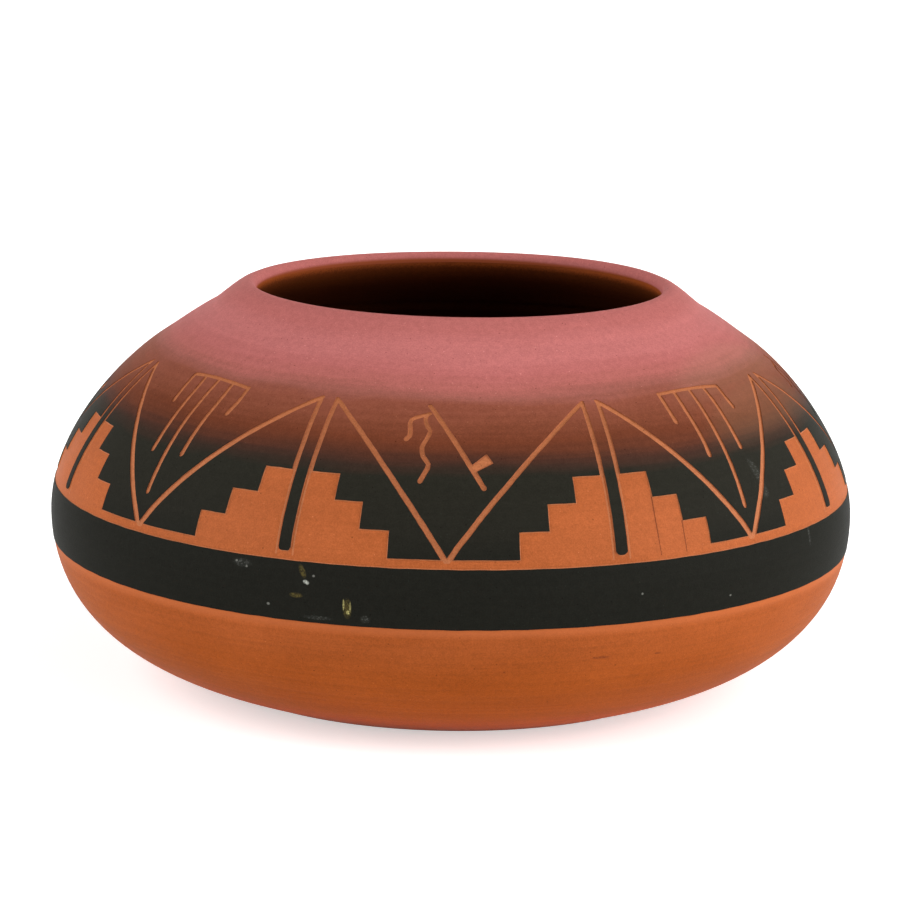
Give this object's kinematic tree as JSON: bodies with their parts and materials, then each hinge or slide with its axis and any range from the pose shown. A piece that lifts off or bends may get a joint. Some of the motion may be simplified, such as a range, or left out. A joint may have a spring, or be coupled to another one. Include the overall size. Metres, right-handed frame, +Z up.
{
  "type": "pottery bowl",
  "caption": "Low round clay bowl with a wide belly and drawn-in mouth, coated with rose and black slip and carved with stepped pyramids, tents, pipes and combs.",
  "frame": {"origin": "centre of the flat foot, on the surface that the bowl stands on", "axes": "+Z up along the axis of the bowl, -Y towards the panel with the pipe that faces the viewer, +X to the viewer's right"},
  "size_m": [0.2, 0.2, 0.0983],
  "materials": {
    "clay": "matte, unglazed",
    "rose_slip": "matte",
    "black_slip": "matte"
  },
  "bodies": {
    "root": {"clay_body": "clay", "rose_neck": "rose_slip", "black_field": "black_slip", "black_band": "black_slip", "black_panel_01": "black_slip", "black_panel_02": "black_slip", "black_panel_03": "black_slip", "black_panel_04": "black_slip", "black_panel_05": "black_slip", "black_panel_06": "black_slip", "black_panel_07": "black_slip", "black_panel_08": "black_slip", "black_panel_09": "black_slip", "black_panel_10": "black_slip", "black_panel_11": "black_slip", "black_panel_12": "black_slip", "black_panel_13": "black_slip", "black_panel_14": "black_slip", "black_panel_15": "black_slip", "black_panel_16": "black_slip"}
  },
  "joints": []
}
